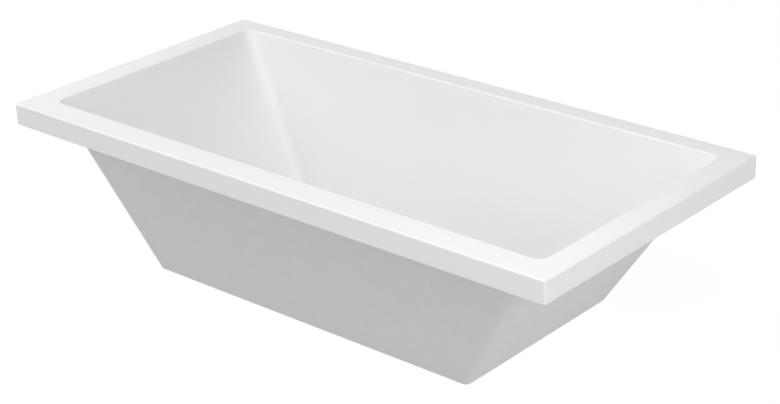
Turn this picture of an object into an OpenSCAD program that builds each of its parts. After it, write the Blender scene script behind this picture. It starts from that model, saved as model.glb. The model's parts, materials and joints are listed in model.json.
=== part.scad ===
// Built-in style bathtub: a leaning acrylic well under a wide flat rim, backed by a
// glass-fibre laminate, with an encapsulated base board, rim battens, a press-to-open
// waste and an overflow. Units are millimetres, +Z is up, +X runs along the bath.
// The origin is the middle of the rim's outline, on the flat underside of the base.

/* [Rim] */
// Length of the rim, along X
rim_l = 1800; // [1500:10:2000]
// Width of the rim, along Y
rim_w = 900; // [800:10:1100]
// Height of the rim's top above the underside of the base
tub_h = 460; // [400:5:520]
// Height of the vertical face round the rim
apron_h = 60; // [40:1:70]
// Radius of the rim's top edges
rim_edge_r = 4; // [2:0.5:6]
// Radius of the rim's vertical corners, in plan
rim_corner_r = 8; // [6:0.5:10]
// Width of the deck on the front long side
deck_front = 81.5; // [75:0.5:110]
// Width of the deck on the back long side
deck_back = 61; // [54:0.5:90]
// Width of the deck at the left end
deck_left = 79.5; // [66:0.5:110]
// Width of the deck at the right end
deck_right = 67; // [64:0.5:110]

/* [Well] */
// Run per rise of the left backrest
lean_ratio_left = 0.628; // [0.4:0.001:0.7]
// Run per rise of the right backrest
lean_ratio_right = 0.649; // [0.4:0.001:0.7]
// Run per rise of the front side wall
lean_ratio_front = 0.203; // [0.1:0.001:0.3]
// Run per rise of the back side wall
lean_ratio_back = 0.183; // [0.1:0.001:0.3]
// Radius of the well's upright corners at the rim, in plan
well_corner_r = 28; // [20:1:45]
// Radius of the rounded lip between deck and walls
lip_r = 5; // [4:0.5:12]
// Radius of the well's upright corners at the floor, in plan
well_foot_r = 32; // [24:1:45]
// Radius of the cove between walls and floor
cove_r = 14; // [8:1:20]

/* [Shell and base] */
// Thickness of the acrylic sheet
sheet_t = 5; // [4:0.5:6]
// Thickness of the glass-fibre laminate behind it
laminate_t = 4; // [3:0.5:6]
// Thickness of the base board
board_t = 28; // [26:1:34]
// Thickness of the laminate skin that closes the base
base_skin_t = 5; // [3:0.5:6]
// Radius of the outer shell's upright corners under the rim, in plan
outer_corner_r = 42; // [34:1:46]
// Radius of the outer shell's corners at the base, in plan
base_corner_r = 18; // [10:1:30]
// Rounding of the outer shell's bottom edge
toe_r = 8; // [2:0.5:9]
// Width of the laminate rim round the base board
base_rim_w = 9; // [7:0.5:14]

/* [Rim battens] */
// Width of the timber battens in the hollow of the rim
batten_w = 28; // [18:1:30]
// Height of the timber battens
batten_h = 38; // [20:1:40]

/* [Waste] */
// Distance of the waste from the middle of the bath, towards the front
waste_offset = 130; // [60:5:160]
// Diameter of the hole through the floor
waste_hole_d = 52; // [50:0.5:54]
// Diameter of the pressed sump round the waste
sump_d = 84; // [76:1:94]
// Depth of the pressed sump
sump_depth = 3; // [2:0.5:4]
// Diameter of the fitting's recess in the underside
recess_d = 124; // [108:1:130]
// Thickness of the laminate lining round the recess
recess_lining_t = 4; // [3:0.5:6]
// Outside diameter of the waste's threaded tail
waste_tail_d = 47.8; // [46:0.1:48]
// Wall of the threaded tail
waste_tail_wall = 3.4; // [2.5:0.1:4]
// Height of the tail's end above the underside of the base
waste_tail_rise = 4; // [2:0.5:6]
// Length of the plain spigot at the tail's end, for the trap
waste_spigot_h = 11.5; // [8:0.5:12]
// Depth that a spigot is turned down below its thread
spigot_relief = 0.6; // [0.5:0.1:1]
// Diameter of the waste's flange
waste_flange_d = 68; // [64:0.5:70]
// Thickness of the waste's flange
waste_flange_t = 3; // [2:0.5:4]
// Thickness of the rubber seal under the flange
waste_top_seal_t = 1.5; // [1:0.25:2]
// Thickness of the rubber seal under the floor
waste_under_seal_t = 3; // [2:0.5:4]
// Thickness of the slip washer
waste_washer_t = 1.5; // [1:0.5:2]
// Outside diameter of the seal and the washer under the floor
waste_ring_d = 66; // [62:1:70]
// Height of the back nut
waste_nut_h = 9; // [6:0.5:10]
// Width of the back nut across its flats
waste_nut_af = 60; // [56:1:62]
// Play on the radius between a threaded tail and what is on it
thread_gap = 0.2; // [0.1:0.05:0.4]

/* [Press-to-open plug] */
// Travel of the plug
plug_travel = 7; // [5:0.5:7]
// Diameter of the plug's cap
plug_cap_d = 62; // [58:0.5:64]
// Thickness of the plug's cap at its edge
plug_cap_t = 2.5; // [2:0.5:4]
// Rise of the cap's dome above its edge
plug_dome = 1.5; // [0.5:0.5:2.5]
// Thickness of the plug's sealing ring
plug_seal_t = 1.5; // [1:0.25:2.5]
// Width of the plug's sealing ring
plug_seal_w = 6; // [4:0.5:7]
// Diameter of the plug's stem
stem_d = 8; // [6:0.5:9]
// Play on the radius between the stem and its guide
stem_gap = 0.08; // [0.03:0.01:0.1]
// Diameter of the collar at the stem's foot
stem_collar_d = 11.8; // [11:0.1:12.4]
// Height of the collar at the stem's foot
stem_collar_h = 2; // [1.5:0.5:3]
// Diameter of the stem's threaded top
stem_thread_d = 6; // [4:0.5:6]
// Wall of the cap's hub round the stem
plug_hub_wall = 3; // [2:0.5:4]
// Room between moving ends: collar under the sleeve's top, hub above it
end_gap = 0.5; // [0.4:0.1:1]
// Outside diameter of the sleeve that guides the stem
sleeve_d = 16; // [15:0.5:18]
// Play on the radius between the sleeve's bore and the stem's collar
sleeve_play = 0.3; // [0.2:0.05:0.5]
// Thickness of the sleeve's top and bottom
sleeve_end_t = 2; // [1.5:0.5:3]
// Space for the folded spring under the collar
spring_h = 6; // [5:0.5:8]
// Diameter of the spring's wire
spring_wire_d = 0.8; // [0.6:0.1:1]
// Turns of the spring
spring_turns = 5; // [3:1:6]
// Diameter of the thread that holds the sleeve
sleeve_thread_d = 10; // [8:0.5:10]
// Height of the cross bar above the tail's end
spider_rise = 3; // [2:0.5:4]
// Height of the cross bar in the tail
spider_h = 6; // [4:0.5:8]
// Width of the cross bar's arms
spider_arm_w = 4; // [3:0.5:6]
// Diameter of the cross bar's boss
spider_boss_d = 17; // [14:0.5:20]

/* [Overflow] */
// Depth of the overflow's centre below the rim's top, on the front wall
overflow_drop = 72; // [66:1:120]
// Diameter of the hole through the front wall
overflow_hole_d = 44; // [43:0.5:46]
// Outside diameter of the overflow's threaded tail
overflow_tail_d = 41.9; // [40:0.1:42]
// Wall of the overflow's tail
overflow_tail_wall = 3.2; // [2.5:0.1:4]
// Reach of the overflow's tail behind the wall
overflow_reach = 18; // [18:0.5:21]
// Length of the plain spigot at the tail's end, for the overflow pipe
overflow_spigot_h = 6; // [5:0.5:6]
// Diameter of the overflow's flange and seals
overflow_flange_d = 58; // [54:1:59]
// Thickness of the overflow's flange
overflow_flange_t = 3; // [2:0.5:4]
// Thickness of the seal in front of the wall
overflow_face_seal_t = 1.5; // [1:0.25:2]
// Thickness of the seal behind the wall
overflow_back_seal_t = 3; // [2:0.5:4]
// Height of the overflow's back nut
overflow_nut_h = 8; // [6:0.5:9]
// Width of the overflow's back nut across its flats
overflow_nut_af = 52; // [50:1:54]
// Diameter of the cover plate
overflow_cover_d = 66; // [64:1:76]
// Height of the cover plate's face above the wall
overflow_cover_h = 13; // [10:0.5:18]
// Thickness of the cover plate
overflow_cover_t = 2.5; // [2:0.5:3]
// Rounding of the cover plate's edge
overflow_cover_r = 2; // [1:0.25:2]
// Width of each water inlet in the cover's skirt
overflow_slot_w = 16; // [10:1:20]
// Diameter of the fixing screw's shank
overflow_screw_d = 4; // [3:0.5:5]
// Diameter of the fixing screw's head
overflow_screw_head_d = 9; // [7:0.5:10]
// Diameter of the boss and post that the screw passes through
overflow_boss_d = 10; // [9:0.5:12]
// Distance of the boss from the wet face, down the tail
overflow_boss_s = 4; // [3:0.5:6]
// Height of the boss and of the bar that carries it
overflow_boss_h = 5; // [4:0.5:7]

/* [Hidden] */

shell_fn = 32;
round_fn = 64;
cut = 1;
slab_h = 0.01;
foot_steps = 8;
lip_steps = 4;
lip_runout = 0.2;
leans = [lean_ratio_left, lean_ratio_right, lean_ratio_front, lean_ratio_back];
dome_steps = 6;
edge_steps = 4;

// Surfaces of the floor, from the wet side down
floor_z = base_skin_t + board_t + laminate_t + sheet_t;
board_top_z = base_skin_t + board_t;
sump_z = floor_z - sump_depth;
waste_roof_z = sump_z - sheet_t - laminate_t;
wall_t = sheet_t + laminate_t;
deck_under_z = tub_h - sheet_t;
flange_under_z = deck_under_z - laminate_t;
apron_z = tub_h - apron_h;

// Heights of the waste's pieces
flange_z = sump_z + waste_top_seal_t;
flange_top_z = flange_z + waste_flange_t;
under_seal_z = waste_roof_z - waste_under_seal_t;
washer_z = under_seal_z - waste_washer_t;
waste_nut_z = washer_z - waste_nut_h;
tail_bore_r = waste_tail_d / 2 - waste_tail_wall;
seal_bore_r = waste_tail_d / 2 + thread_gap;
spigot_top_z = waste_tail_rise + waste_spigot_h;

// Heights of the plug and its guide
cap_z = flange_top_z + plug_seal_t;
spider_z = waste_tail_rise + spider_rise;
spider_top_z = spider_z + spider_h;
sleeve_bore_z = spider_top_z + 2 * sleeve_end_t;
collar_z = sleeve_bore_z + spring_h;
collar_top_z = collar_z + stem_collar_h;
sleeve_ceiling_z = collar_top_z + plug_travel + end_gap;
sleeve_top_z = sleeve_ceiling_z + sleeve_end_t;
hub_z = sleeve_top_z + end_gap;
sleeve_bore_r = stem_collar_d / 2 + sleeve_play;
plug_hub_r = stem_d / 2 + plug_hub_wall;
plug_seal_r = tail_bore_r + plug_seal_w;

// Distances through the front wall, from its wet face outwards
face_flange_s = -overflow_face_seal_t - overflow_flange_t;
overflow_nut_s = wall_t + overflow_back_seal_t;
overflow_end_s = wall_t + overflow_reach;
overflow_thread_s = overflow_end_s - overflow_spigot_h;
overflow_bore_r = overflow_tail_d / 2 - overflow_tail_wall;
overflow_seal_bore_r = overflow_tail_d / 2 + thread_gap;

// How far a wall moves sideways when it is offset by t along its normal
function sideways(lean, t) = t * sqrt(1 + lean * lean);

// Distance of a wet wall from the rim's outer face, as deck width plus lean
function side_at(deck, lean, t, z) = deck + lean * (tub_h - z) - sideways(lean, t);

// Run of the rounded lip along the deck, and its surface at a depth below the deck
function lip_run(lean) = lip_r * tan((90 - atan(lean)) / 2);
function lip_depth(lean) = lip_r * (1 - sin(atan(lean)));
function lip_flare(lean, d) = d >= lip_depth(lean)
    ? -lip_runout * (d - lip_depth(lean))
    : lip_run(lean) - sqrt(lip_r * lip_r - (lip_r - d) * (lip_r - d)) + lean * d;

// The same, on the straight line through depths a and b
function lip_chord(lean, a, b, d) =
    lip_flare(lean, a) + (lip_flare(lean, b) - lip_flare(lean, a)) * (d - a) / (b - a);

// A plate with round corners, between two corners of the plan
module rounded_plate(x0, x1, y0, y1, r, h) {
    hull() {
        for (x = [x0 + r, x1 - r], y = [y0 + r, y1 - r])
            translate([x, y, 0]) cylinder(h, r = r, $fn = shell_fn);
    }
}

// Thin corner discs of the well's outline at height z, offset by t and flared on each side
module well_outline(t, z, r, flare = [0, 0, 0, 0]) {
    x0 = -rim_l / 2 + side_at(deck_left, lean_ratio_left, t, z) - flare[0] + r;
    x1 = rim_l / 2 - side_at(deck_right, lean_ratio_right, t, z) + flare[1] - r;
    y0 = -rim_w / 2 + side_at(deck_front, lean_ratio_front, t, z) - flare[2] + r;
    y1 = rim_w / 2 - side_at(deck_back, lean_ratio_back, t, z) + flare[3] - r;
    for (x = [x0, x1], y = [y0, y1])
        translate([x, y, z]) cylinder(slab_h, r = r, $fn = shell_fn);
}

// How far a foot rounded by edge_r stays inside the wall's plane, at a height above its bottom
function foot_flare(lean, edge_r, rise) = rise >= edge_r * (1 - sin(atan(lean)))
    ? 0
    : sqrt(edge_r * edge_r - (edge_r - rise) * (edge_r - rise))
        + lean * (edge_r - rise) - sideways(lean, edge_r);

// The well as a solid: leaning walls offset outwards by t, on a foot rounded by edge_r
module well_solid(t, bottom_z, top_z, top_r, foot_r, edge_r) {
    hull() {
        well_outline(t, top_z - slab_h, top_r);
        for (i = [0 : foot_steps]) {
            a = 90 * i / foot_steps;
            rise = edge_r * (1 - cos(a));
            flare = [for (lean = leans) foot_flare(lean, edge_r, rise)];
            well_outline(t, bottom_z + rise, max(foot_r - edge_r * (1 - sin(a)), slab_h), flare);
        }
    }
}

// The wet inside of the well, and the outside of the acrylic sheet
module well_inside() {
    well_solid(0, floor_z, tub_h + cut, well_corner_r, well_foot_r, cove_r);
}

module well_outside() {
    top_r = well_corner_r + sheet_t;
    foot_r = well_foot_r + sheet_t;
    well_solid(sheet_t, floor_z - sheet_t, tub_h - sheet_t / 2, top_r, foot_r, cove_r + sheet_t);
}

// The rounded lip: each cutter follows one chord of the arc, from above the deck down
module lip_cut() {
    last = 90 - atan(min(leans));
    for (i = [0 : lip_steps - 1]) {
        a = lip_r * (1 - cos(last * i / lip_steps));
        b = lip_r * (1 - cos(last * (i + 1) / lip_steps));
        hull() {
            for (d = [-cut, lip_r]) {
                flare = [for (lean = leans) lip_chord(lean, a, b, d)];
                well_outline(0, tub_h - d, well_corner_r + (flare[0] + flare[2]) / 2, flare);
            }
        }
    }
}

// The rim with rounded top edges and corners
module rim_block() {
    inset = rim_corner_r - rim_edge_r;
    edge = [
        for (i = [0 : edge_steps])
            let (a = 90 * i / edge_steps)
            [inset + rim_edge_r * cos(a), apron_h - rim_edge_r + rim_edge_r * sin(a)]
    ];
    hull() {
        for (x = [-1, 1], y = [-1, 1])
            translate([x * (rim_l / 2 - rim_corner_r), y * (rim_w / 2 - rim_corner_r), apron_z])
                rotate_extrude($fn = shell_fn)
                    polygon(concat([[0, 0], [rim_corner_r, 0]], edge, [[0, apron_h]]));
    }
}

// A tube round a vertical axis
module ring(outer_r, inner_r, z, h) {
    translate([0, 0, z]) rotate_extrude($fn = round_fn)
        translate([inner_r, 0]) square([outer_r - inner_r, h]);
}

// A disc round a vertical axis
module disc(r, z, h) {
    translate([0, 0, z]) cylinder(h, r = r, $fn = round_fn);
}

module at_waste() {
    translate([0, -waste_offset, 0]) children();
}

// Places what is modelled along +Z on the overflow's axis, with Z = 0 on the wet face
module at_overflow() {
    y = -rim_w / 2 + side_at(deck_front, lean_ratio_front, 0, tub_h - overflow_drop);
    translate([0, y, tub_h - overflow_drop]) rotate([90 + atan(lean_ratio_front), 0, 0]) children();
}

// White sheet formed into rim, lip, walls, floor and sump
module acrylic_shell() {
    color("white") difference() {
        union() {
            difference() {
                rim_block();
                translate([-rim_l / 2 + sheet_t, -rim_w / 2 + sheet_t, apron_z - cut])
                    cube([rim_l - 2 * sheet_t, rim_w - 2 * sheet_t, apron_h - sheet_t + cut]);
            }
            well_outside();
            at_waste() disc(sump_d / 2 + sheet_t, sump_z - sheet_t, sump_depth + sheet_t / 2);
        }
        well_inside();
        lip_cut();
        at_waste() disc(sump_d / 2, sump_z, floor_z - sump_z + cut);
        at_waste() disc(waste_hole_d / 2, 0, floor_z + cut);
        at_overflow() disc(overflow_hole_d / 2, -wall_t, 3 * wall_t);
    }
}

// Grey laminate: flange under the deck, walls, foot and underfloor
module laminate_shell() {
    color("silver") difference() {
        union() {
            translate([-rim_l / 2 + sheet_t, -rim_w / 2 + sheet_t, flange_under_z])
                cube([rim_l - 2 * sheet_t, rim_w - 2 * sheet_t, laminate_t]);
            well_solid(wall_t, 0, deck_under_z, outer_corner_r, base_corner_r, toe_r);
        }
        well_outside();
        difference() {
            base_pocket(0, board_top_z);
            at_waste() disc(sump_d / 2 + wall_t, waste_roof_z, board_t);
        }
        at_waste() disc(sump_d / 2 + sheet_t, sump_z - sheet_t, sump_depth + sheet_t);
        at_waste() disc(waste_hole_d / 2, 0, floor_z);
        at_overflow() disc(overflow_hole_d / 2, -wall_t, 3 * wall_t);
    }
}

// Outline of the board and of the skin below it, inside the laminate's foot
module base_pocket(z, h) {
    r = max(base_corner_r - base_rim_w, toe_r);
    x0 = -rim_l / 2 + side_at(deck_left, lean_ratio_left, wall_t, 0) + base_rim_w;
    x1 = rim_l / 2 - side_at(deck_right, lean_ratio_right, wall_t, 0) - base_rim_w;
    y0 = -rim_w / 2 + side_at(deck_front, lean_ratio_front, wall_t, 0) + base_rim_w;
    y1 = rim_w / 2 - side_at(deck_back, lean_ratio_back, wall_t, 0) - base_rim_w;
    translate([0, 0, z]) rounded_plate(x0, x1, y0, y1, r, h);
}

// Timber board that carries the floor, cut out round the waste
module base_board() {
    color("burlywood") difference() {
        base_pocket(base_skin_t, board_t);
        at_waste() disc(recess_d / 2 + recess_lining_t, 0, floor_z);
    }
}

// Laminate skin under the board, on which the bath rests
module base_skin() {
    color("silver") difference() {
        base_pocket(0, base_skin_t);
        at_waste() disc(recess_d / 2, -cut, floor_z);
    }
}

// Laminate tube that lines the board's hole round the waste
module recess_lining() {
    color("silver") at_waste()
        ring(recess_d / 2 + recess_lining_t, recess_d / 2, base_skin_t, board_t);
}

// A batten glued to the deck's laminate and to the inside of the apron
module batten(x0, x1, y0, y1) {
    color("tan") translate([x0, y0, flange_under_z - batten_h])
        cube([x1 - x0, y1 - y0, batten_h]);
}

module front_batten() {
    batten(-rim_l / 2 + sheet_t, rim_l / 2 - sheet_t, -rim_w / 2 + sheet_t, -rim_w / 2 + sheet_t + batten_w);
}

module back_batten() {
    batten(-rim_l / 2 + sheet_t, rim_l / 2 - sheet_t, rim_w / 2 - sheet_t - batten_w, rim_w / 2 - sheet_t);
}

module left_batten() {
    inset = sheet_t + batten_w;
    batten(-rim_l / 2 + sheet_t, -rim_l / 2 + inset, -rim_w / 2 + inset, rim_w / 2 - inset);
}

module right_batten() {
    inset = sheet_t + batten_w;
    batten(rim_l / 2 - inset, rim_l / 2 - sheet_t, -rim_w / 2 + inset, rim_w / 2 - inset);
}

// Flange, threaded tail and the cross bar that holds the sleeve
module waste_body() {
    color("gainsboro") at_waste() {
        ring(waste_flange_d / 2, tail_bore_r, flange_z, waste_flange_t);
        ring(waste_tail_d / 2, tail_bore_r, spigot_top_z, flange_z - spigot_top_z);
        ring(waste_tail_d / 2 - spigot_relief, tail_bore_r, waste_tail_rise, waste_spigot_h);
        ring(spider_boss_d / 2, sleeve_thread_d / 2 + thread_gap, spider_z, spider_h);
        for (a = [0 : 90 : 270]) {
            rotate([0, 0, a]) translate([spider_boss_d / 2 - 0.5, -spider_arm_w / 2, spider_z])
                cube([tail_bore_r - spider_boss_d / 2 + 1, spider_arm_w, spider_h]);
        }
    }
}

module waste_top_seal() {
    color("dimgray") at_waste()
        ring(waste_flange_d / 2 - 1, seal_bore_r, sump_z, waste_top_seal_t);
}

module waste_under_seal() {
    color("dimgray") at_waste()
        ring(waste_ring_d / 2, seal_bore_r, under_seal_z, waste_under_seal_t);
}

module waste_washer() {
    color("whitesmoke") at_waste()
        ring(waste_ring_d / 2, seal_bore_r, washer_z, waste_washer_t);
}

// Hexagon nut with a round bore
module back_nut(af, h, bore_r) {
    difference() {
        cylinder(h, r = af / sqrt(3), $fn = 6);
        disc(bore_r, -cut, h + 2 * cut);
    }
}

module waste_nut() {
    color("whitesmoke") at_waste() translate([0, 0, waste_nut_z])
        back_nut(waste_nut_af, waste_nut_h, seal_bore_r);
}

// Sleeve screwed into the cross bar: foot thread, collar, barrel and guide hole
module click_sleeve() {
    color("gainsboro") at_waste() {
        disc(sleeve_thread_d / 2, spider_z, spider_h + sleeve_end_t);
        disc(spider_boss_d / 2, spider_top_z, sleeve_end_t);
        disc(sleeve_d / 2, spider_top_z + sleeve_end_t, sleeve_end_t);
        ring(sleeve_d / 2, sleeve_bore_r, sleeve_bore_z, sleeve_ceiling_z - sleeve_bore_z);
        ring(sleeve_d / 2, stem_d / 2 + stem_gap, sleeve_ceiling_z, sleeve_end_t);
    }
}

// Compression spring, swept along its helix
module click_spring() {
    sides = 8;
    steps = 14;
    wire_r = spring_wire_d / 2;
    coil_r = stem_collar_d / 2 - spring_wire_d;
    rise = spring_h - spring_wire_d;
    count = spring_turns * steps;
    points = [
        for (i = [0 : count], j = [0 : sides - 1])
            let (a = 360 * i / steps, b = 360 * j / sides)
            [
                (coil_r + wire_r * cos(b)) * cos(a),
                (coil_r + wire_r * cos(b)) * sin(a),
                wire_r + rise * i / count + wire_r * sin(b)
            ]
    ];
    walls = [
        for (i = [0 : count - 1], j = [0 : sides - 1])
            let (k = (j + 1) % sides)
            [i * sides + j, (i + 1) * sides + j, (i + 1) * sides + k, i * sides + k]
    ];
    first_end = [for (j = [0 : sides - 1]) j];
    last_end = [for (j = [sides - 1 : -1 : 0]) count * sides + j];
    color("silver") at_waste() translate([0, 0, sleeve_bore_z])
        polyhedron(concat(points), concat(walls, [first_end], [last_end]));
}

// Stem with the collar that the spring pushes on and the thread in the cap
module plug_stem() {
    color("silver") at_waste() {
        disc(stem_collar_d / 2, collar_z, stem_collar_h);
        disc(stem_d / 2, collar_top_z, hub_z - collar_top_z);
        disc(stem_thread_d / 2, hub_z, cap_z - hub_z);
    }
}

// Domed cap with the hub that takes the stem's thread
module plug_cap() {
    cap_r = plug_cap_d / 2;
    dome_r = (cap_r * cap_r + plug_dome * plug_dome) / (2 * plug_dome);
    dome_z = cap_z + plug_cap_t + plug_dome - dome_r;
    dome = [
        for (i = [0 : dome_steps])
            let (r = cap_r * (1 - i / dome_steps))
            [r, dome_z + sqrt(dome_r * dome_r - r * r)]
    ];
    color("gainsboro") at_waste() {
        rotate_extrude($fn = round_fn) polygon(concat([[0, cap_z], [cap_r, cap_z]], dome));
        ring(plug_hub_r, stem_thread_d / 2 + thread_gap, hub_z, cap_z - hub_z);
    }
}

module plug_seal() {
    color("dimgray") at_waste() ring(plug_seal_r, plug_hub_r + thread_gap, flange_top_z, plug_seal_t);
}

// Flange and threaded tail with the bar that takes the fixing screw
module overflow_body() {
    color("whitesmoke") at_overflow() {
        ring(overflow_flange_d / 2, overflow_bore_r, face_flange_s, overflow_flange_t);
        ring(overflow_tail_d / 2, overflow_bore_r, -overflow_face_seal_t,
            overflow_thread_s + overflow_face_seal_t);
        ring(overflow_tail_d / 2 - spigot_relief, overflow_bore_r, overflow_thread_s, overflow_spigot_h);
        difference() {
            union() {
                disc(overflow_boss_d / 2, overflow_boss_s, overflow_boss_h);
                translate([-overflow_bore_r - 0.5, -spider_arm_w / 2, overflow_boss_s])
                    cube([2 * overflow_bore_r + 1, spider_arm_w, overflow_boss_h]);
            }
            disc(overflow_screw_d / 2 + thread_gap, 0, wall_t + cut);
        }
    }
}

module overflow_face_seal() {
    color("dimgray") at_overflow()
        ring(overflow_flange_d / 2, overflow_seal_bore_r, -overflow_face_seal_t, overflow_face_seal_t);
}

module overflow_back_seal() {
    color("dimgray") at_overflow()
        ring(overflow_flange_d / 2, overflow_seal_bore_r, wall_t, overflow_back_seal_t);
}

module overflow_nut() {
    color("whitesmoke") at_overflow() translate([0, 0, overflow_nut_s])
        back_nut(overflow_nut_af, overflow_nut_h, overflow_seal_bore_r);
}

// Round cover with water inlets in its skirt and a post for the screw
module overflow_cover() {
    cover_r = overflow_cover_d / 2;
    face_s = -overflow_cover_h;
    back_s = face_s + overflow_cover_t;
    edge = [
        for (i = [0 : edge_steps])
            let (a = 90 * i / edge_steps)
            [
                cover_r - overflow_cover_r * (1 - sin(a)),
                face_s + overflow_cover_r * (1 - cos(a))
            ]
    ];
    skirt_r = cover_r - overflow_cover_t;
    inside = [[cover_r, 0], [skirt_r, 0], [skirt_r, back_s], [0, back_s]];
    post_s = back_s - overflow_cover_t / 2;
    color("gainsboro") at_overflow() difference() {
        union() {
            rotate_extrude($fn = round_fn) polygon(concat([[0, face_s]], edge, inside));
            disc(overflow_boss_d / 2, post_s, overflow_boss_s - post_s);
        }
        for (a = [45, 90, 135, 270]) {
            rotate([0, 0, a]) translate([cover_r - 2 * overflow_cover_t, -overflow_slot_w / 2, back_s])
                cube([3 * overflow_cover_t, overflow_slot_w, overflow_cover_h - 2 * overflow_cover_t]);
        }
        overflow_screw_shape(thread_gap);
    }
}

// Countersunk screw, grown by a play for the hole it sits in
module overflow_screw_shape(play) {
    shank_r = overflow_screw_d / 2 + play;
    head_r = overflow_screw_head_d / 2 + play;
    translate([0, 0, -overflow_cover_h]) rotate_extrude($fn = round_fn) polygon([
        [0, 0], [head_r, 0], [shank_r, head_r - shank_r],
        [shank_r, overflow_cover_h + overflow_boss_s + overflow_boss_h],
        [0, overflow_cover_h + overflow_boss_s + overflow_boss_h]
    ]);
}

module overflow_screw() {
    color("silver") at_overflow() overflow_screw_shape(0);
}

acrylic_shell();
laminate_shell();
base_board();
base_skin();
recess_lining();
front_batten();
back_batten();
left_batten();
right_batten();
waste_body();
waste_top_seal();
waste_under_seal();
waste_washer();
waste_nut();
click_sleeve();
click_spring();
plug_stem();
plug_cap();
plug_seal();
overflow_body();
overflow_face_seal();
overflow_back_seal();
overflow_nut();
overflow_cover();
overflow_screw();
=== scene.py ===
# Bathtub: shells, finishes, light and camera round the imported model. Lengths are in metres.
import json
import math

import bmesh
import bpy
from mathutils import Matrix, Vector


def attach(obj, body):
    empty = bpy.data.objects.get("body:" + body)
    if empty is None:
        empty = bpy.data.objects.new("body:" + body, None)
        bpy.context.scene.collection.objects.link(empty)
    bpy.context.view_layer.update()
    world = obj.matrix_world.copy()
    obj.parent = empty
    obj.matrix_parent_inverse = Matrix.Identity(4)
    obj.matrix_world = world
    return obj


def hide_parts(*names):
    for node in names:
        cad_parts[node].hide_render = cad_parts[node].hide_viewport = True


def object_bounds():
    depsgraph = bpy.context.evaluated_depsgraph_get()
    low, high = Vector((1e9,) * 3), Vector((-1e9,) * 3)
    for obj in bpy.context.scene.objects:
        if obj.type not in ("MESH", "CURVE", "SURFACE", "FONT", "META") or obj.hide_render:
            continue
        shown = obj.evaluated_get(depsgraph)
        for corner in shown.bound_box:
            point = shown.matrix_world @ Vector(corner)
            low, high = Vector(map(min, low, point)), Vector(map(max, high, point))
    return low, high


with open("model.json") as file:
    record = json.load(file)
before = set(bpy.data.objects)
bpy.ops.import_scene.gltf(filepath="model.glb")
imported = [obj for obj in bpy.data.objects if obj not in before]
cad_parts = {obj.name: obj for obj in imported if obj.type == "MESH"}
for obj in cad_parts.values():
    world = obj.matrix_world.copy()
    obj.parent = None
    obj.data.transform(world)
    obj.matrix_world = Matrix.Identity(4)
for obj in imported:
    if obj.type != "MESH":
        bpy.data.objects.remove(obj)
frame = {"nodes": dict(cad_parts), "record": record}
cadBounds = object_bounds()
cadNodes = frame["nodes"]
(xMin, yMin, baseZ), (xMax, yMax, rimZ) = cadBounds
sideNames = ("left", "right", "front", "back")
print("frame loaded")


# ---- node trees ----

class Wire:  # a socket that can be used in a sum or a product
    def __init__(self, tree, socket):
        self.tree = tree
        self.socket = socket

    def maths(self, operation, *values):
        return self.tree.add("ShaderNodeMath", {"operation": operation}, dict(enumerate(values)))

    def __add__(self, other):
        return self.maths("ADD", self, other)

    def __radd__(self, other):
        return self.maths("ADD", other, self)

    def __sub__(self, other):
        return self.maths("SUBTRACT", self, other)

    def __mul__(self, other):
        return self.maths("MULTIPLY", self, other)

    def __rmul__(self, other):
        return self.maths("MULTIPLY", other, self)

    def __truediv__(self, other):
        return self.maths("DIVIDE", self, other)

    def __mod__(self, other):
        return self.maths("MODULO", self, other)

    def __lt__(self, other):
        return self.maths("LESS_THAN", self, other)

    def __gt__(self, other):
        return self.maths("GREATER_THAN", self, other)

    def out(self, name):  # another output of the same node
        return Wire(self.tree, self.socket.node.outputs[name])


class Tree:  # adds nodes with their settings first, then their values and links
    def __init__(self, nodeTree):
        self.nodes = nodeTree.nodes
        self.links = nodeTree.links

    def add(self, kind, settings=None, sockets=None, output=0):
        node = self.nodes.new(kind)
        for name, value in (settings or {}).items():
            if name == "stops":
                self.setStops(node.color_ramp, value)
            else:
                setattr(node, name, value)
        for key, value in (sockets or {}).items():
            if isinstance(value, Wire):
                self.links.new(value.socket, node.inputs[key])
            else:
                node.inputs[key].default_value = value
        return Wire(self, node.outputs[output]) if node.outputs else None

    def setStops(self, ramp, stops):
        while len(ramp.elements) < len(stops):
            ramp.elements.new(1.0)
        for element, (position, colour) in zip(ramp.elements, stops):
            element.position = position
            element.color = (*colour, 1.0)


# ---- materials ----

def newMaterial(name):
    material = bpy.data.materials.new(name)
    material.use_nodes = True
    material.node_tree.nodes.clear()
    return material, Tree(material.node_tree)


def finishMaterial(tree, shader):
    tree.add("ShaderNodeOutputMaterial", sockets={"Surface": shader})


def objectPlace(tree, scale=(1, 1, 1), turn=(0, 0, 0)):
    place = tree.add("ShaderNodeTexCoord").out("Object")
    return tree.add("ShaderNodeMapping", sockets={
        "Vector": place, "Scale": scale, "Rotation": turn})


def noise(tree, place, scale, detail=2.0, roughness=0.5):
    return tree.add("ShaderNodeTexNoise", sockets={
        "Vector": place, "Scale": scale, "Detail": detail, "Roughness": roughness})


def colourMix(tree, factor, first, second):
    node = tree.add("ShaderNodeMix", {"data_type": "RGBA"}, {0: factor}, output=2)
    for index, colour in ((6, first), (7, second)):
        if isinstance(colour, Wire):
            tree.links.new(colour.socket, node.socket.node.inputs[index])
        else:
            node.socket.node.inputs[index].default_value = (*colour, 1.0)
    return node


def bump(tree, height, distance, strength=1.0):
    return tree.add("ShaderNodeBump", sockets={
        "Height": height, "Distance": distance, "Strength": strength})


acrylic = {
    "light": (0.832, 0.831, 0.833), "dark": (0.812, 0.811, 0.815),
    "roughness": 0.40, "roughnessRange": 0.06, "gloss": 0.32, "refraction": 1.49,
    "cloudScale": 2.5, "peelScale": 55.0, "peelHeight": 0.00006,
}


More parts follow.
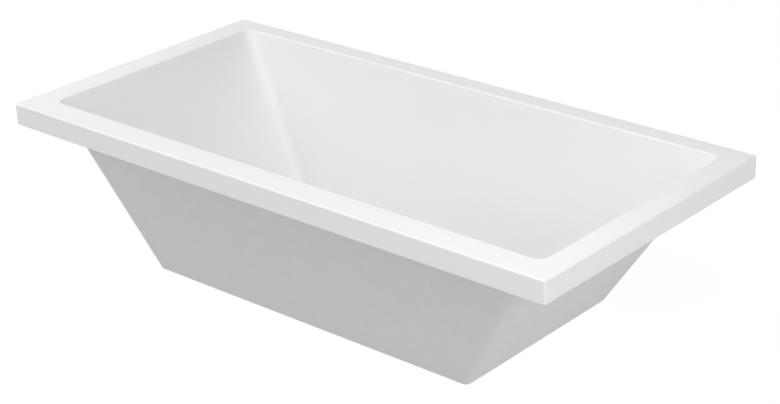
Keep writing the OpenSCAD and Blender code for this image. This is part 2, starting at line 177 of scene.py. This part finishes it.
def whiteAcrylic():
    material, tree = newMaterial("whiteAcrylic")
    place = objectPlace(tree)
    cloud = noise(tree, place, acrylic["cloudScale"], detail=3.0)
    peel = noise(tree, place, acrylic["peelScale"], detail=1.0)
    finishMaterial(tree, tree.add("ShaderNodeBsdfPrincipled", sockets={
        "Base Color": colourMix(tree, cloud, acrylic["light"], acrylic["dark"]),
        "Roughness": acrylic["roughness"] + acrylic["roughnessRange"] * cloud,
        "IOR": acrylic["refraction"],
        "Specular IOR Level": acrylic["gloss"],
        "Normal": bump(tree, peel, acrylic["peelHeight"]),
    }))
    return material


laminate = {
    "light": (0.711, 0.717, 0.730), "dark": (0.627, 0.633, 0.646),
    "fibre": (0.742, 0.747, 0.757), "fibreShare": 0.35,
    "roughness": 0.5, "roughnessRange": 0.2, "refraction": 1.5,
    "speckScale": 210.0, "mottleScale": 26.0, "speckTone": 0.5, "mottleTone": 0.5,
    "strandScale": 90.0, "strandStretch": (1, 9, 9), "strandTilt": (0.3, 0.5),
    "strandTurns": (0.2, 1.3, 2.3), "strandFrom": 0.6, "strandTo": 0.8,
    "strandRelief": 0.5, "mottleRelief": 0.3, "speckRelief": 0.2, "bumpHeight": 0.0012,
}


def greyLaminate():
    material, tree = newMaterial("greyLaminate")
    place = objectPlace(tree)
    speck = noise(tree, place, laminate["speckScale"], detail=2.0, roughness=0.6)
    mottle = noise(tree, place, laminate["mottleScale"], detail=4.0, roughness=0.6)
    strands = [
        noise(tree, objectPlace(tree, laminate["strandStretch"], (*laminate["strandTilt"], turn)),
              laminate["strandScale"], detail=1.0)
        for turn in laminate["strandTurns"]
    ]
    strand = speck.maths("MAXIMUM", strands[0], strands[1])
    strand = speck.maths("MAXIMUM", strand, strands[2])
    fibreMask = tree.add("ShaderNodeMapRange", sockets={
        "Value": strand, "From Min": laminate["strandFrom"], "From Max": laminate["strandTo"]})
    tone = laminate["speckTone"] * speck + laminate["mottleTone"] * mottle
    relief = (laminate["strandRelief"], laminate["mottleRelief"], laminate["speckRelief"])
    resin = colourMix(tree, tone, laminate["light"], laminate["dark"])
    finishMaterial(tree, tree.add("ShaderNodeBsdfPrincipled", sockets={
        "Base Color": colourMix(tree, fibreMask * laminate["fibreShare"], resin, laminate["fibre"]),
        "Roughness": laminate["roughness"] + laminate["roughnessRange"] * mottle,
        "IOR": laminate["refraction"],
        "Normal": bump(tree, relief[0] * strand + relief[1] * mottle + relief[2] * speck,
                       laminate["bumpHeight"]),
    }))
    return material


batten = {
    "light": (0.66, 0.48, 0.30), "dark": (0.44, 0.29, 0.16),
    "roughness": 0.62, "roughnessRange": 0.2, "bumpHeight": 0.0006,
    "stretchAlong": 1.5, "stretchAcross": 26.0, "fineStretch": 4,
    "grainScale": 3.0, "fineScale": 5.0, "grainTone": 0.7, "fineTone": 0.3,
    "grainRelief": 0.6, "fineRelief": 0.4,
}


def timber(name, along):
    material, tree = newMaterial(name)
    stretch = tuple(
        batten["stretchAlong"] if axis == along else batten["stretchAcross"] for axis in range(3))
    fineStretch = tuple(batten["fineStretch"] * value for value in stretch)
    grain = noise(tree, objectPlace(tree, stretch), batten["grainScale"], detail=5.0,
                  roughness=0.65)
    fine = noise(tree, objectPlace(tree, fineStretch), batten["fineScale"], detail=2.0)
    tone = batten["grainTone"] * grain + batten["fineTone"] * fine
    finishMaterial(tree, tree.add("ShaderNodeBsdfPrincipled", sockets={
        "Base Color": colourMix(tree, tone, batten["light"], batten["dark"]),
        "Roughness": batten["roughness"] + batten["roughnessRange"] * fine,
        "Normal": bump(tree, batten["grainRelief"] * grain + batten["fineRelief"] * fine,
                       batten["bumpHeight"]),
    }))
    return material


chip = {
    "stretch": (1, 1.7, 3.0), "scale": 150.0,
    "tones": ((0.0, (0.30, 0.19, 0.10)), (0.35, (0.47, 0.33, 0.19)),
              (0.7, (0.60, 0.45, 0.28)), (1.0, (0.70, 0.56, 0.38))),
    "roughness": 0.7, "roughnessRange": 0.15, "bumpHeight": 0.0008,
}


def chipboard():
    material, tree = newMaterial("chipboard")
    chips = tree.add("ShaderNodeTexVoronoi", sockets={
        "Vector": objectPlace(tree, chip["stretch"]), "Scale": chip["scale"]})
    chipTone = tree.add("ShaderNodeSeparateColor", sockets={0: chips.out("Color")})
    tone = tree.add("ShaderNodeValToRGB", {"stops": chip["tones"]}, {0: chipTone})
    finishMaterial(tree, tree.add("ShaderNodeBsdfPrincipled", sockets={
        "Base Color": tone,
        "Roughness": chip["roughness"] + chip["roughnessRange"] * chipTone,
        "Normal": bump(tree, chips, chip["bumpHeight"]),
    }))
    return material


metalWear = {"wearScale": 60.0, "turnedScale": 300.0, "roughnessRange": 0.7}


def metal(name, light, dark, roughness, brushScale=(1, 1, 1), bumpHeight=0.00002):
    material, tree = newMaterial(name)
    wear = noise(tree, objectPlace(tree), metalWear["wearScale"], detail=3.0)
    turned = noise(tree, objectPlace(tree, brushScale), metalWear["turnedScale"], detail=2.0)
    finishMaterial(tree, tree.add("ShaderNodeBsdfPrincipled", sockets={
        "Base Color": colourMix(tree, wear, light, dark),
        "Metallic": 1.0,
        "Roughness": roughness + roughness * metalWear["roughnessRange"] * wear,
        "Normal": bump(tree, turned, bumpHeight),
    }))
    return material


plastic = {
    "light": (0.80, 0.80, 0.78), "dark": (0.72, 0.72, 0.70), "roughness": 0.36,
    "roughnessRange": 0.12, "cloudScale": 35.0, "cloudDetail": 3.0,
    "grainScale": 1400.0, "grainDetail": 1.0, "grainHeight": 0.00005,
}
rubber = {
    "light": (0.022, 0.022, 0.023), "dark": (0.05, 0.05, 0.052), "roughness": 0.6,
    "roughnessRange": 0.2, "cloudScale": 90.0, "cloudDetail": 4.0,
    "grainScale": 1800.0, "grainDetail": 2.0, "grainHeight": 0.00008,
}


def moulded(name, look):
    material, tree = newMaterial(name)
    place = objectPlace(tree)
    cloud = noise(tree, place, look["cloudScale"], look["cloudDetail"])
    grain = noise(tree, place, look["grainScale"], look["grainDetail"])
    finishMaterial(tree, tree.add("ShaderNodeBsdfPrincipled", sockets={
        "Base Color": colourMix(tree, cloud, look["light"], look["dark"]),
        "Roughness": look["roughness"] + look["roughnessRange"] * cloud,
        "Normal": bump(tree, grain, look["grainHeight"]),
    }))
    return material


finish = {
    "white_acrylic": whiteAcrylic(),
    "grey_laminate": greyLaminate(),
    "base_board": chipboard(),
    "timberX": timber("battenTimberX", along=0),
    "timberY": timber("battenTimberY", along=1),
    "chromed_brass": metal("chrome", (0.82, 0.83, 0.84), (0.74, 0.75, 0.77), roughness=0.06),
    "bare_brass": metal("brass", (0.78, 0.58, 0.30), (0.66, 0.46, 0.22), roughness=0.24,
                        brushScale=(1, 1, 30), bumpHeight=0.00005),
    "spring_steel": metal("steel", (0.62, 0.62, 0.63), (0.50, 0.50, 0.52), roughness=0.2,
                          brushScale=(1, 1, 20), bumpHeight=0.00004),
    "white_plastic": moulded("mouldedPlastic", plastic),
    "black_rubber": moulded("blackRubber", rubber),
}
print("materials made")


# ---- rings of the shells ----

tub = {
    "deck": {"left": 0.0795, "right": 0.067, "front": 0.0815, "back": 0.061},
    "lean": {"left": 0.628, "right": 0.649, "front": 0.203, "back": 0.183},
    "apronHeight": 0.060, "rimEdge": 0.004, "rimCorner": 0.008, "apronEdge": 0.0012,
    "sheet": 0.005, "laminate": 0.004, "board": 0.028, "baseSkin": 0.005,
    "boardEdge": 0.0008, "skinEdge": 0.0015, "innerCorner": 0.0005, "flangeFillet": 0.010,
    "lipRadius": 0.005, "wellCorner": 0.028, "wellFoot": 0.032, "cove": 0.014,
    "outerCorner": 0.042, "baseCorner": 0.018, "toe": 0.008, "baseRim": 0.009,
    "wasteX": 0.0, "wasteY": -0.130, "wasteHole": 0.026,
    "sumpRadius": 0.042, "sumpDepth": 0.003, "sumpStepInside": 0.004, "sumpStepOutside": 0.002,
    "sumpStepWidth": 0.006, "sumpFlatInside": 0.005, "sumpFlatOutside": 0.004,
    "recessRadius": 0.062, "recessLining": 0.004,
    "overflowDrop": 0.072, "overflowHole": 0.022, "overflowCut": 0.05, "overflowSegments": 64,
    "cornerSteps": 14, "arcSteps": 10, "sumpSteps": 10, "edgeSteps": 6, "smallSteps": 3,
    "support": 0.0015, "wallSupport": 0.004,
}
wallThickness = tub["sheet"] + tub["laminate"]
apronZ = rimZ - tub["apronHeight"]
deckUnderZ = rimZ - tub["sheet"]
flangeUnderZ = deckUnderZ - tub["laminate"]
boardTopZ = tub["baseSkin"] + tub["board"]
floorZ = boardTopZ + wallThickness
sumpZ = floorZ - tub["sumpDepth"]
leans = [tub["lean"][side] for side in sideNames]


def wellRing(offset, z, radius, flares=(0, 0, 0, 0)):
    reach = [
        tub["deck"][side] + lean * (rimZ - z) - offset * math.hypot(1, lean) - flare
        for side, lean, flare in zip(sideNames, leans, flares)
    ]
    return (xMin + reach[0], xMax - reach[1], yMin + reach[2], yMax - reach[3], z, radius)


def rimRing(inset, z, radius):
    return (xMin + inset, xMax - inset, yMin + inset, yMax - inset, z, radius)


def wasteRing(radius, z):
    x, y = tub["wasteX"], tub["wasteY"]
    return (x - radius, x + radius, y - radius, y + radius, z, radius)


def quarterTurns(steps):
    return [math.pi / (2 * steps) * i for i in range(steps + 1)]


# Rounding from the floor up to the walls.
def footRings(offset, bottomZ, footRadius, edgeRadius):
    rings = []
    for i in range(tub["arcSteps"] + 1):
        turn = math.pi / 2 * i / tub["arcSteps"]
        rise = edgeRadius * (1 - math.cos(turn))
        flares = []
        for lean in leans:
            flare = edgeRadius * (math.sin(turn) - math.hypot(1, lean)) + lean * (edgeRadius - rise)
            flares.append(flare if rise < edgeRadius * (1 - math.sin(math.atan(lean))) else 0)
        radius = footRadius - edgeRadius + edgeRadius * math.sin(turn)
        rings.append(wellRing(offset, bottomZ + rise, radius, flares))
    return rings


def wallRadius(z):  # plan radius of the well's corner at a height
    share = (z - floorZ - tub["cove"]) / (rimZ - floorZ - tub["cove"])
    return tub["wellFoot"] + (tub["wellCorner"] - tub["wellFoot"]) * share


def lipRings():  # from the wall up over the lip to the deck
    radius = tub["lipRadius"]
    last = math.pi / 2 - math.atan(min(leans))
    rings = []
    for i in range(tub["arcSteps"], -1, -1):
        depth = radius * (1 - math.cos(last * i / tub["arcSteps"]))
        flares = []
        for lean in leans:
            run = radius * math.tan((math.pi / 2 - math.atan(lean)) / 2)
            flare = run - math.sqrt(radius ** 2 - (radius - depth) ** 2) + lean * depth
            flares.append(flare if depth < radius * (1 - math.sin(math.atan(lean))) else 0)
        z = rimZ - depth
        rings.append(wellRing(0, z, wallRadius(z) + (flares[0] + flares[2]) / 2, flares))
    return rings


# The same ring further out. A ring close beside another holds the shading of a flat face.
def outwards(ring, step):
    xLow, xHigh, yLow, yHigh, z, radius = ring
    return (xLow - step, xHigh + step, yLow - step, yHigh + step, z, radius + step)


def raised(ring, step):
    return (*ring[:4], ring[4] + step, ring[5])


def acrylicRings():
    support = tub["support"]
    sump, sheet, edge, small = tub["sumpRadius"], tub["sheet"], tub["rimEdge"], tub["apronEdge"]
    corner, tight = tub["rimCorner"], tub["innerCorner"]
    rings = [wasteRing(tub["wasteHole"], sumpZ), wasteRing(sump - tub["sumpFlatInside"], sumpZ)]
    for i in range(1, tub["sumpSteps"]):  # the pressed step round the sump
        share = i / tub["sumpSteps"]
        radius = sump - tub["sumpStepInside"] + tub["sumpStepWidth"] * share
        rings.append(wasteRing(radius, sumpZ + tub["sumpDepth"] * (3 - 2 * share) * share ** 2))
    rings.append(wasteRing(sump + tub["sumpStepOutside"], floorZ))
    rings.append(wasteRing(sump + tub["sumpFlatOutside"], floorZ))
    cove = footRings(0, floorZ, tub["wellFoot"], tub["cove"])
    lowZ = floorZ + tub["cove"] + tub["wallSupport"]
    wallLow = wellRing(0, lowZ, wallRadius(lowZ))
    lip = lipRings()
    highZ = lip[0][4] - 2 * support
    wallHigh = wellRing(0, highZ, wallRadius(highZ))
    rings += [outwards(cove[0], -support), *cove, wallLow, wallHigh]
    rings += [*lip, outwards(lip[-1], support)]
    rings.append(rimRing(edge + support, rimZ, corner - edge - support))
    for turn in quarterTurns(tub["edgeSteps"]):
        inset = edge * (1 - math.sin(turn))
        rings.append(rimRing(inset, rimZ - edge * (1 - math.cos(turn)), corner - inset))
    rings.append(rimRing(0, rimZ - edge - support, corner))
    rings.append(rimRing(0, apronZ + small + support, corner))
    for turn in quarterTurns(tub["smallSteps"]):
        inset = small * (1 - math.cos(turn))
        rings.append(rimRing(inset, apronZ + small * (1 - math.sin(turn)), corner - inset))
    rings.append(rimRing(sheet - small / 2, apronZ, corner - sheet))
    rings += [rimRing(sheet, apronZ + small / 2, tight), rimRing(sheet, deckUnderZ, tight)]
    rings.append(wellRing(sheet, deckUnderZ, tub["wellCorner"] + sheet))
    rings += footRings(sheet, floorZ - sheet, tub["wellFoot"] + sheet, tub["cove"] + sheet)[::-1]
    rings += [wasteRing(sump + sheet, floorZ - sheet), wasteRing(sump + sheet, sumpZ - sheet)]
    rings.append(wasteRing(tub["wasteHole"], sumpZ - sheet))
    return rings


def laminateRings():
    sheet, wall, toe = tub["sheet"], wallThickness, tub["toe"]
    sump, support, fillet = tub["sumpRadius"], tub["support"], tub["flangeFillet"]
    corner, baseCorner, tight = tub["outerCorner"], tub["baseCorner"], tub["innerCorner"]
    rings = [rimRing(sheet, deckUnderZ, tight), rimRing(sheet, flangeUnderZ, tight)]
    for turn in quarterTurns(tub["edgeSteps"]):  # the resin's fillet between flange and wall
        z = flangeUnderZ - fillet * (1 - math.cos(turn))
        rings.append(outwards(wellRing(wall, z, corner), fillet * (1 - math.sin(turn))))
    rings.insert(2, outwards(rings[2], support))
    foot = footRings(wall, baseZ, baseCorner, toe)[::-1]
    share = tub["wallSupport"] / (deckUnderZ - toe)
    lowCorner = baseCorner + (corner - baseCorner) * share
    rings.append(wellRing(wall, toe + tub["wallSupport"], lowCorner))
    rings += foot
    rings.append(outwards(foot[-1], -support))
    pocket = outwards(wellRing(wall, baseZ, 0), -tub["baseRim"])[:4]
    pocketCorner = baseCorner - tub["baseRim"]
    rings += [(*pocket, baseZ, pocketCorner), (*pocket, boardTopZ, pocketCorner)]
    rings += [wasteRing(sump + wall, boardTopZ), wasteRing(sump + wall, sumpZ - wall)]
    rings += [wasteRing(tub["wasteHole"], sumpZ - wall), wasteRing(tub["wasteHole"], sumpZ - sheet)]
    rings += [wasteRing(sump + sheet, sumpZ - sheet), wasteRing(sump + sheet, floorZ - sheet)]
    rings += footRings(sheet, floorZ - sheet, tub["wellFoot"] + sheet, tub["cove"] + sheet)
    rings.append(wellRing(sheet, deckUnderZ, tub["wellCorner"] + sheet))
    return rings


# A flat plate in the base's pocket, with a hole for the waste.
def pocketRings(lowZ, highZ, holeRadius, edge):
    corner, thickness = tub["baseCorner"] - tub["baseRim"], highZ - lowZ
    flat = (*outwards(wellRing(wallThickness, baseZ, 0), -tub["baseRim"])[:4], lowZ, corner)
    rings = [wasteRing(holeRadius, lowZ + edge), wasteRing(holeRadius + edge, lowZ)]
    rings += [outwards(flat, -edge), raised(flat, edge), raised(flat, thickness - edge)]
    rings.append(raised(outwards(flat, -edge), thickness))
    rings += [wasteRing(holeRadius + edge, highZ), wasteRing(holeRadius, highZ - edge)]
    return rings


# ---- the sweep: every vertex of a grid finds its ring and its place round it ----

ringNames = ("xLow", "xHigh", "yLow", "yHigh", "height", "radius")
sweep = {
    "nudge": 1e-4, "supportShare": 0.4, "mergeDistance": 0.00001,
    "weldDistance": 0.000005, "sharpAngle": 35,
}


def buildRingSweep():
    group = bpy.data.node_groups.new("ringSweep", "GeometryNodeTree")
    for name, kind, way in (
        ("Geometry", "NodeSocketGeometry", "INPUT"), ("Corner Steps", "NodeSocketInt", "INPUT"),
        ("Support", "NodeSocketFloat", "INPUT"), ("Material", "NodeSocketMaterial", "INPUT"),
        ("Mesh", "NodeSocketGeometry", "OUTPUT"),
    ):
        group.interface.new_socket(name=name, in_out=way, socket_type=kind)
    tree = Tree(group)
    given = tree.add("NodeGroupInput")
    profile, steps = given.out("Geometry"), given.out("Corner Steps")
    ringCount = tree.add("GeometryNodeAttributeDomainSize", sockets={"Geometry": profile})
    perCorner = steps + 3  # the arc's points and a support on either side
    roundCount = perCorner * 4
    grid = tree.add("GeometryNodeMeshGrid", sockets={
        "Vertices X": roundCount + 1, "Vertices Y": ringCount + 1})
    index = tree.add("GeometryNodeInputIndex")
    column = index.maths("FLOOR", index / (ringCount + 1) + sweep["nudge"])
    ring = (index - column * (ringCount + 1)) % ringCount
    place = column % roundCount
    corner = place.maths("FLOOR", place / perCorner + sweep["nudge"])
    step = place - corner * perCorner
    onArc = step.maths("MAXIMUM", step.maths("MINIMUM", step - 1, steps), 0)
    turn = (corner + onArc / steps) * (math.pi / 2)

    def sampled(name):
        stored = tree.add("GeometryNodeInputNamedAttribute", {"data_type": "FLOAT"},
                          {"Name": name})
        return tree.add("GeometryNodeSampleIndex", {"data_type": "FLOAT"},
                        {"Geometry": profile, "Value": stored, "Index": ring})

    x0, x1, y0, y1, z, radius = [sampled(name) for name in ringNames]
    straight = x0.maths("MINIMUM", x1 - x0 - 2 * radius, y1 - y0 - 2 * radius)
    reach = straight.maths("MINIMUM", straight * sweep["supportShare"], given.out("Support"))
    shift = reach * ((step > steps + 1.5) - (step < 0.5))  # only at the two supports
    atRight = (corner < 0.5) + (corner > 2.5)  # the corners go 0 to 3, from the back right one
    atBack = corner < 1.5
    cosine, sine = turn.maths("COSINE", turn), turn.maths("SINE", turn)
    x = x0 + radius + (x1 - x0 - 2 * radius) * atRight + radius * cosine - shift * sine
    y = y0 + radius + (y1 - y0 - 2 * radius) * atBack + radius * sine + shift * cosine
    position = tree.add("ShaderNodeCombineXYZ", sockets={0: x, 1: y, 2: z})
    mesh = tree.add("GeometryNodeSetPosition", sockets={"Geometry": grid, "Position": position})
    mesh = tree.add("GeometryNodeMergeByDistance", sockets={
        "Geometry": mesh, "Distance": sweep["mergeDistance"]})
    mesh = tree.add("GeometryNodeRealizeInstances", sockets={"Geometry": mesh})
    mesh = tree.add("GeometryNodeSetMaterial", sockets={
        "Geometry": mesh, "Material": given.out("Material")})
    tree.add("NodeGroupOutput", sockets={"Mesh": mesh})
    return group


ringSweep = buildRingSweep()


def bake(obj, group, values):  # runs a node group on an object and keeps the result as its mesh
    modifier = obj.modifiers.new(group.name, "NODES")
    modifier.node_group = group
    for item in group.interface.items_tree:
        if item.name in values:
            modifier[item.identifier] = values[item.name]
    applyModifiers(obj)


def applyModifiers(obj):
    graph = bpy.context.evaluated_depsgraph_get()
    mesh = bpy.data.meshes.new_from_object(obj.evaluated_get(graph), depsgraph=graph)
    mesh.name = obj.name
    obj.modifiers.clear()
    obj.data = mesh


def tidyMesh(obj):  # normals outwards, smooth faces, sharp folds
    sharpAngle = math.radians(sweep["sharpAngle"])
    mesh = bmesh.new()
    mesh.from_mesh(obj.data)
    bmesh.ops.remove_doubles(mesh, verts=mesh.verts, dist=sweep["weldDistance"])
    bmesh.ops.recalc_face_normals(mesh, faces=mesh.faces)
    for face in mesh.faces:
        face.smooth = True
    for edge in mesh.edges:
        edge.smooth = len(edge.link_faces) != 2 or edge.calc_face_angle(0) < sharpAngle
    mesh.to_mesh(obj.data)
    mesh.free()


def sweptPiece(name, rings, material):
    mesh = bpy.data.meshes.new(name)
    mesh.from_pydata([(0, 0, i) for i in range(len(rings))], [], [])
    for attribute, values in zip(ringNames, zip(*rings)):
        mesh.attributes.new(attribute, "FLOAT", "POINT").data.foreach_set("value", values)
    obj = bpy.data.objects.new(name, mesh)
    bpy.context.scene.collection.objects.link(obj)
    bake(obj, ringSweep, {
        "Corner Steps": tub["cornerSteps"], "Support": tub["support"], "Material": material})
    tidyMesh(obj)
    return obj


overflowTurn = math.pi / 2 + math.atan(tub["lean"]["front"])
overflowY = yMin + tub["deck"]["front"] + tub["lean"]["front"] * tub["overflowDrop"]
overflowCentre = Matrix.Translation((0, overflowY, rimZ - tub["overflowDrop"]))
overflowPlace = overflowCentre @ Matrix.Rotation(overflowTurn, 4, "X")


def cutOverflow(obj):  # the round hole through the front wall
    mesh = bpy.data.meshes.new("cutter")
    cutter = bpy.data.objects.new("cutter", mesh)
    bpy.context.scene.collection.objects.link(cutter)
    shape = bmesh.new()
    bmesh.ops.create_cone(
        shape, cap_ends=True, segments=tub["overflowSegments"], radius1=tub["overflowHole"],
        radius2=tub["overflowHole"], depth=tub["overflowCut"], matrix=overflowPlace)
    shape.to_mesh(mesh)
    shape.free()
    modifier = obj.modifiers.new("hole", "BOOLEAN")
    modifier.object = cutter
    modifier.solver = "EXACT"
    applyModifiers(obj)
    bpy.data.objects.remove(cutter)
    tidyMesh(obj)


def standFor(obj, body, slot, *nodes):
    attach(obj, body)
    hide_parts(*nodes)


shell = sweptPiece("formed_shell", acrylicRings(), finish["white_acrylic"])
cutOverflow(shell)
standFor(shell, "tub", "white_acrylic", "acrylic_shell")
backing = sweptPiece("sprayed_backing", laminateRings(), finish["grey_laminate"])
cutOverflow(backing)
standFor(backing, "tub", "grey_laminate", "laminate_shell")
boardHole = tub["recessRadius"] + tub["recessLining"]
boardRings = pocketRings(tub["baseSkin"], boardTopZ, boardHole, tub["boardEdge"])
board = sweptPiece("carrier_board", boardRings, finish["base_board"])
standFor(board, "tub", "base_board", "base_board")
skinRings = pocketRings(baseZ, tub["baseSkin"], tub["recessRadius"], tub["skinEdge"])
skin = sweptPiece("closing_skin", skinRings, finish["grey_laminate"])
standFor(skin, "tub", "grey_laminate", "base_skin")
print("shells swept:", len(shell.data.polygons), len(backing.data.polygons))


# ---- finishes of the carried-over nodes ----

for entry in frame["record"]["subparts"]:
    node, slot = entry["node"], entry["material_slot"]
    if slot == "batten_timber":
        slot = "timberX" if node in ("front_batten", "back_batten") else "timberY"
    for holder in cadNodes[node].material_slots:
        holder.material = finish[slot]
print("finishes assigned")


# ---- floor, light and camera ----

studio = {
    "floorSize": 14.0, "floorDrop": 0.0002, "floorShare": 0.10, "floorGlow": 0.945,
    "floorColour": (0.20, 0.20, 0.20), "floorTint": (0.955, 0.985, 1.0), "floorLight": 0.580,
    "worldStrength": 0.153,
    "lampKinds": {
        "far": {"aim": (0.1, -0.1, 0.35), "size": (4.0, 2.4)},
        "close": {"aim": (0.1, -0.1, 0.35), "size": (2.0, 1.6)},
        "corner": {"aim": (0.7, -0.3, 0.46), "size": (1.2, 1.0)},
    },
    "lamps": (  # name, kind, place, power
        ("rightFarLamp", "far", (7.24, -1.36, 3.73), 134.9),
        ("frontMiddleLamp", "far", (1.36, -7.24, 3.73), 76.9),
        ("leftLamp", "close", (-2.32, -0.98, 3.41), 71.2),
        ("frontLeftFarLamp", "far", (-5.03, -5.23, 3.73), 69.5),
        ("rightLowLamp", "far", (7.98, -0.10, 1.74), 45.4),
        ("backLowLamp", "far", (0.10, 7.78, 1.74), 30.0),
        ("rightNearLamp", "corner", (1.60, -0.93, 2.37), 23.3),
        ("frontLowLamp", "far", (1.47, -7.86, 1.74), 16.8),
        ("leftLowLamp", "close", (-2.96, -0.10, 2.92), 5.3),
        ("backLeftLamp", "close", (-2.07, 2.07, 2.92), 4.9),
        ("frontNearLamp", "corner", (1.08, -1.33, 2.37), 2.3),
    ),
}


def seenRays(tree):  # 1 on rays of the camera, a gloss or a glass, 0 on rays that carry light
    path = tree.add("ShaderNodeLightPath")
    seen = path.maths("MAXIMUM", path.out("Is Camera Ray"), path.out("Is Glossy Ray"))
    return path.maths("MAXIMUM", seen, path.out("Is Transmission Ray"))


# The floor looks white. For rays that carry light it is darker and glows faintly of itself.
def studioFloor():
    mesh = bpy.data.meshes.new("studioFloor")
    half, z = studio["floorSize"] / 2, -studio["floorDrop"]
    corners = [(-half, -half, z), (half, -half, z), (half, half, z), (-half, half, z)]
    mesh.from_pydata(corners, [], [(0, 1, 2, 3)])
    floor = bpy.data.objects.new("studioFloor", mesh)
    bpy.context.scene.collection.objects.link(floor)
    material, tree = newMaterial("studioFloor")
    seen = seenRays(tree)
    plain = tree.add("ShaderNodeBsdfDiffuse", sockets={"Color": (*studio["floorColour"], 1)})
    light = tree.add("ShaderNodeEmission", sockets={
        "Color": (*studio["floorTint"], 1), "Strength": studio["floorLight"]})
    plain = tree.add("ShaderNodeAddShader", sockets={0: plain, 1: light})
    glow = tree.add("ShaderNodeEmission", sockets={"Strength": studio["floorGlow"]})
    faint = tree.add("ShaderNodeBsdfDiffuse", sockets={"Color": (*[studio["floorShare"]] * 3, 1)})
    shown = tree.add("ShaderNodeAddShader", sockets={0: glow, 1: faint})
    finishMaterial(tree, tree.add("ShaderNodeMixShader", sockets={0: seen, 1: plain, 2: shown}))
    mesh.materials.append(material)


def studioWorld():
    world = bpy.data.worlds.new("studioWorld")
    world.use_nodes = True
    world.node_tree.nodes.clear()
    tree = Tree(world.node_tree)
    strength = studio["worldStrength"] + (1 - studio["worldStrength"]) * seenRays(tree)
    background = tree.add("ShaderNodeBackground", sockets={
        "Color": (1, 1, 1, 1), "Strength": strength})
    tree.add("ShaderNodeOutputWorld", sockets={"Surface": background})
    bpy.context.scene.world = world


def studioLamps():
    for name, kind, place, power in studio["lamps"]:
        lamp = studio["lampKinds"][kind]
        data = bpy.data.lights.new(name, "AREA")
        data.shape = "RECTANGLE"
        data.size, data.size_y = lamp["size"]
        data.energy = power
        obj = bpy.data.objects.new(name, data)
        obj.location = place
        obj.visible_camera = False
        towards = Vector(lamp["aim"]) - Vector(place)
        obj.rotation_euler = towards.to_track_quat("-Z", "Y").to_euler()
        bpy.context.scene.collection.objects.link(obj)


view = {
    "target": (0.3514, -0.3299, 0.46), "azimuth": 40.975, "elevation": 24.0, "roll": -1.495,
    "distance": 4.683, "focalLength": 89.93, "sensorWidth": 36.0, "clipEnd": 60.0,
}


def studioCamera():
    around, up = math.radians(view["azimuth"]), math.radians(view["elevation"])
    level = math.cos(up)
    back = Vector((math.sin(around) * level, -math.cos(around) * level, math.sin(up)))
    roll = Matrix.Rotation(math.radians(view["roll"]), 4, "Z")
    pose = back.to_track_quat("Z", "Y").to_matrix().to_4x4() @ roll
    data = bpy.data.cameras.new("camera")
    data.lens = view["focalLength"]
    data.sensor_width = view["sensorWidth"]
    data.clip_end = view["clipEnd"]
    obj = bpy.data.objects.new("camera", data)
    obj.matrix_world = Matrix.Translation(Vector(view["target"]) + back * view["distance"]) @ pose
    bpy.context.scene.collection.objects.link(obj)
    bpy.context.scene.camera = obj


studioFloor()
studioWorld()
studioLamps()
studioCamera()
bpy.context.scene.view_settings.view_transform = "Standard"
print("studio set")
